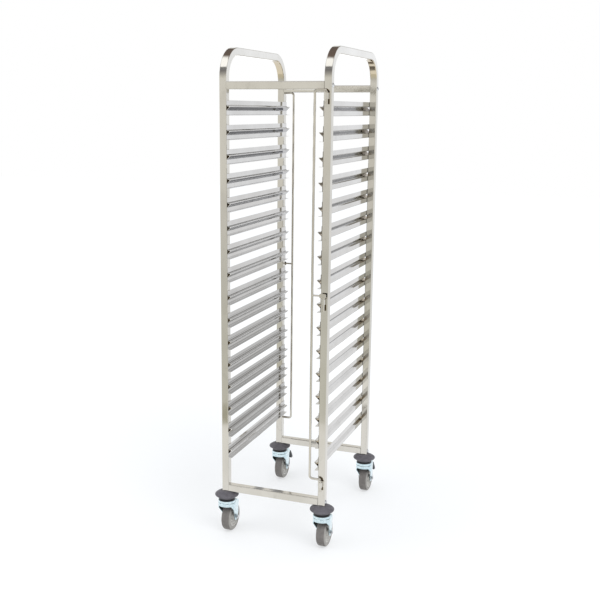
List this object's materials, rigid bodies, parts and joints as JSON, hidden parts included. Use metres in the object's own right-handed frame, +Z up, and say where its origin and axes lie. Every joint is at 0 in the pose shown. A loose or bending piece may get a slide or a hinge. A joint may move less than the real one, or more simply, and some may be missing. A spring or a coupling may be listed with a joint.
{
  "type": "tray rack trolley",
  "caption": "Tall open stainless tray rack trolley with folded side rails, looped side handles, swinging tray stop bars, and swivel casters under bumper discs, braked at the rear.",
  "frame": {"origin": "on the floor, in the middle of the box round the whole trolley with its casters trailing to the rear", "axes": "+Z up, +X to the right seen from the front, +Y from the front to the rear; trays go in along Y"},
  "size_m": [0.439, 0.67, 1.674],
  "materials": {
    "frame_steel": "satin stainless steel",
    "rail_steel": "satin stainless steel sheet",
    "stop_steel": "polished stainless steel rod",
    "fastener_steel": "plain steel",
    "zinc_plated": "bright zinc plate",
    "bumper_rubber": "matt dark grey",
    "seal_plastic": "black",
    "tyre_rubber": "grey-brown thermoplastic rubber",
    "hub_plastic": "pale grey",
    "pedal_plastic": "dark grey"
  },
  "bodies": {
    "frame": {"left_side_frame": "frame_steel", "right_side_frame": "frame_steel", "front_top_crossbar": "frame_steel", "rear_top_crossbar": "frame_steel", "front_bottom_crossbar": "frame_steel", "rear_bottom_crossbar": "frame_steel", "crossbar_inserts": "fastener_steel", "crossbar_bolts": "fastener_steel", "rail_pair_01": "rail_steel", "rail_pair_02": "rail_steel", "rail_pair_03": "rail_steel", "rail_pair_04": "rail_steel", "rail_pair_05": "rail_steel", "rail_pair_06": "rail_steel", "rail_pair_07": "rail_steel", "rail_pair_08": "rail_steel", "rail_pair_09": "rail_steel", "rail_pair_10": "rail_steel", "rail_pair_11": "rail_steel", "rail_pair_12": "rail_steel", "rail_pair_13": "rail_steel", "rail_pair_14": "rail_steel", "rail_pair_15": "rail_steel", "rail_pair_16": "rail_steel", "front_stop_straps": "frame_steel", "rear_stop_straps": "frame_steel", "front_left_bumper": "bumper_rubber", "front_left_stem": "fastener_steel", "front_left_swivel_seal": "seal_plastic", "front_right_bumper": "bumper_rubber", "front_right_stem": "fastener_steel", "front_right_swivel_seal": "seal_plastic", "rear_left_bumper": "bumper_rubber", "rear_left_stem": "fastener_steel", "rear_left_swivel_seal": "seal_plastic", "rear_right_bumper": "bumper_rubber", "rear_right_stem": "fastener_steel", "rear_right_swivel_seal": "seal_plastic"},
    "front_stop": {"front_tray_stop": "stop_steel"},
    "rear_stop": {"rear_tray_stop": "stop_steel"},
    "front_left_swivel": {"front_left_fork": "zinc_plated", "front_left_axle": "fastener_steel"},
    "front_left_wheel": {"front_left_tyre": "tyre_rubber", "front_left_hub": "hub_plastic"},
    "front_right_swivel": {"front_right_fork": "zinc_plated", "front_right_axle": "fastener_steel"},
    "front_right_wheel": {"front_right_tyre": "tyre_rubber", "front_right_hub": "hub_plastic"},
    "rear_left_swivel": {"rear_left_fork": "zinc_plated", "rear_left_axle": "fastener_steel"},
    "rear_left_wheel": {"rear_left_tyre": "tyre_rubber", "rear_left_hub": "hub_plastic"},
    "rear_right_swivel": {"rear_right_fork": "zinc_plated", "rear_right_axle": "fastener_steel"},
    "rear_right_wheel": {"rear_right_tyre": "tyre_rubber", "rear_right_hub": "hub_plastic"},
    "rear_left_brake": {"rear_left_brake_lever": "zinc_plated", "rear_left_brake_pedal": "pedal_plastic"},
    "rear_right_brake": {"rear_right_brake_lever": "zinc_plated", "rear_right_brake_pedal": "pedal_plastic"}
  },
  "joints": [
    {"name": "front_stop_hinge", "type": "hinge", "parent": "frame", "child": "front_stop", "pos_m": [0.1775, -0.3155, 0.8775], "axis": [0, 0, 1], "range_deg": [-5, 200]},
    {"name": "rear_stop_hinge", "type": "hinge", "parent": "frame", "child": "rear_stop", "pos_m": [-0.1775, 0.2545, 0.8775], "axis": [0, 0, 1], "range_deg": [-5, 200]},
    {"name": "front_left_swivel_turn", "type": "hinge", "parent": "frame", "child": "front_left_swivel", "pos_m": [-0.1775, -0.293, 0.1165], "axis": [0, 0, 1], "continuous": true},
    {"name": "front_left_wheel_spin", "type": "hinge", "parent": "front_left_swivel", "child": "front_left_wheel", "pos_m": [-0.1775, -0.263, 0.05], "axis": [1, 0, 0], "continuous": true},
    {"name": "front_right_swivel_turn", "type": "hinge", "parent": "frame", "child": "front_right_swivel", "pos_m": [0.1775, -0.293, 0.1165], "axis": [0, 0, 1], "continuous": true},
    {"name": "front_right_wheel_spin", "type": "hinge", "parent": "front_right_swivel", "child": "front_right_wheel", "pos_m": [0.1775, -0.263, 0.05], "axis": [1, 0, 0], "continuous": true},
    {"name": "rear_left_swivel_turn", "type": "hinge", "parent": "frame", "child": "rear_left_swivel", "pos_m": [-0.1775, 0.232, 0.1165], "axis": [0, 0, 1], "continuous": true},
    {"name": "rear_left_wheel_spin", "type": "hinge", "parent": "rear_left_swivel", "child": "rear_left_wheel", "pos_m": [-0.1775, 0.262, 0.05], "axis": [1, 0, 0], "continuous": true},
    {"name": "rear_right_swivel_turn", "type": "hinge", "parent": "frame", "child": "rear_right_swivel", "pos_m": [0.1775, 0.232, 0.1165], "axis": [0, 0, 1], "continuous": true},
    {"name": "rear_right_wheel_spin", "type": "hinge", "parent": "rear_right_swivel", "child": "rear_right_wheel", "pos_m": [0.1775, 0.262, 0.05], "axis": [1, 0, 0], "continuous": true},
    {"name": "rear_left_brake_press", "type": "hinge", "parent": "rear_left_swivel", "child": "rear_left_brake", "pos_m": [-0.1775, 0.277, 0.104], "axis": [-1, 0, 0], "range_deg": [0, 8]},
    {"name": "rear_right_brake_press", "type": "hinge", "parent": "rear_right_swivel", "child": "rear_right_brake", "pos_m": [0.1775, 0.277, 0.104], "axis": [-1, 0, 0], "range_deg": [0, 8]}
  ]
}
